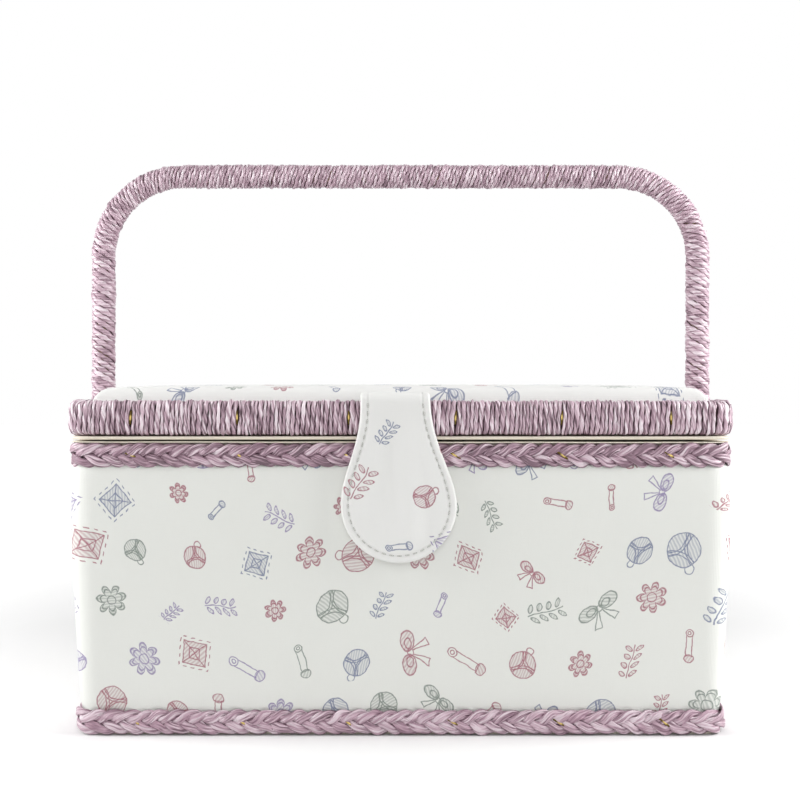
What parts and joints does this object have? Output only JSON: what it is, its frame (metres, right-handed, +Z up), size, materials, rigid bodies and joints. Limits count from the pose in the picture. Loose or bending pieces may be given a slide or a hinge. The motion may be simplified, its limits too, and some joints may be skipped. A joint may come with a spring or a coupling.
{
  "type": "sewing box",
  "caption": "Padded cloth-covered sewing box with mauve raffia bands, a raffia-wound rim and swing handle, a hinged padded lid and a keyhole flap",
  "frame": {"origin": "centre of the base, on the surface that the box stands on", "axes": "+X along the length, to the right as the flap faces the viewer; -Y to the front, where the flap hangs; +Z up"},
  "size_m": [0.334, 0.2172, 0.2765],
  "materials": {
    "printed_cotton": "matte",
    "cream_lining": "matte",
    "raffia": "satin",
    "greyboard": "matte",
    "foam": "matte",
    "cane": "satin",
    "gilt_brass": "polished",
    "steel": "satin"
  },
  "bodies": {
    "box": {"base_sheet": "cream_lining", "bottom_board": "greyboard", "wall_board": "greyboard", "body_cover": "printed_cotton", "wall_lining": "cream_lining", "floor_pad": "cream_lining", "top_braid": "raffia", "bottom_braid": "raffia", "top_braid_staples": "gilt_brass", "bottom_braid_staples": "gilt_brass", "catch_plate": "steel", "hinge_body_leaf_left": "gilt_brass", "hinge_body_leaf_right": "gilt_brass", "hinge_pin_left": "steel", "hinge_pin_right": "steel", "hinge_body_nails": "gilt_brass"},
    "lid": {"lid_board": "greyboard", "lid_lining": "cream_lining", "rim_core": "greyboard", "rim_wrap": "raffia", "rim_staples": "gilt_brass", "lid_pad": "foam", "lid_cover": "printed_cotton", "hinge_lid_leaf_left": "gilt_brass", "hinge_lid_leaf_right": "gilt_brass", "hinge_lid_nails": "gilt_brass", "flap_anchor": "printed_cotton", "pivot_screw_left": "gilt_brass", "pivot_screw_right": "gilt_brass", "pivot_spacer_left": "gilt_brass", "pivot_spacer_right": "gilt_brass"},
    "handle": {"handle_core": "cane", "handle_wrap": "raffia"},
    "flap": {"flap_front": "printed_cotton", "flap_back": "printed_cotton", "flap_magnet": "steel"}
  },
  "joints": [
    {"name": "lid_hinge", "type": "hinge", "parent": "box", "child": "lid", "pos_m": [0, 0.10685, 0.1322], "axis": [-1, 0, 0], "range_deg": [0, 105]},
    {"name": "handle_swing", "type": "hinge", "parent": "lid", "child": "handle", "pos_m": [0, 0, 0.1422], "axis": [1, 0, 0], "range_deg": [-80, 100]},
    {"name": "flap_lift", "type": "hinge", "parent": "lid", "child": "flap", "pos_m": [0, -0.1071, 0.152], "axis": [-1, 0, 0], "range_deg": [0, 160]}
  ]
}
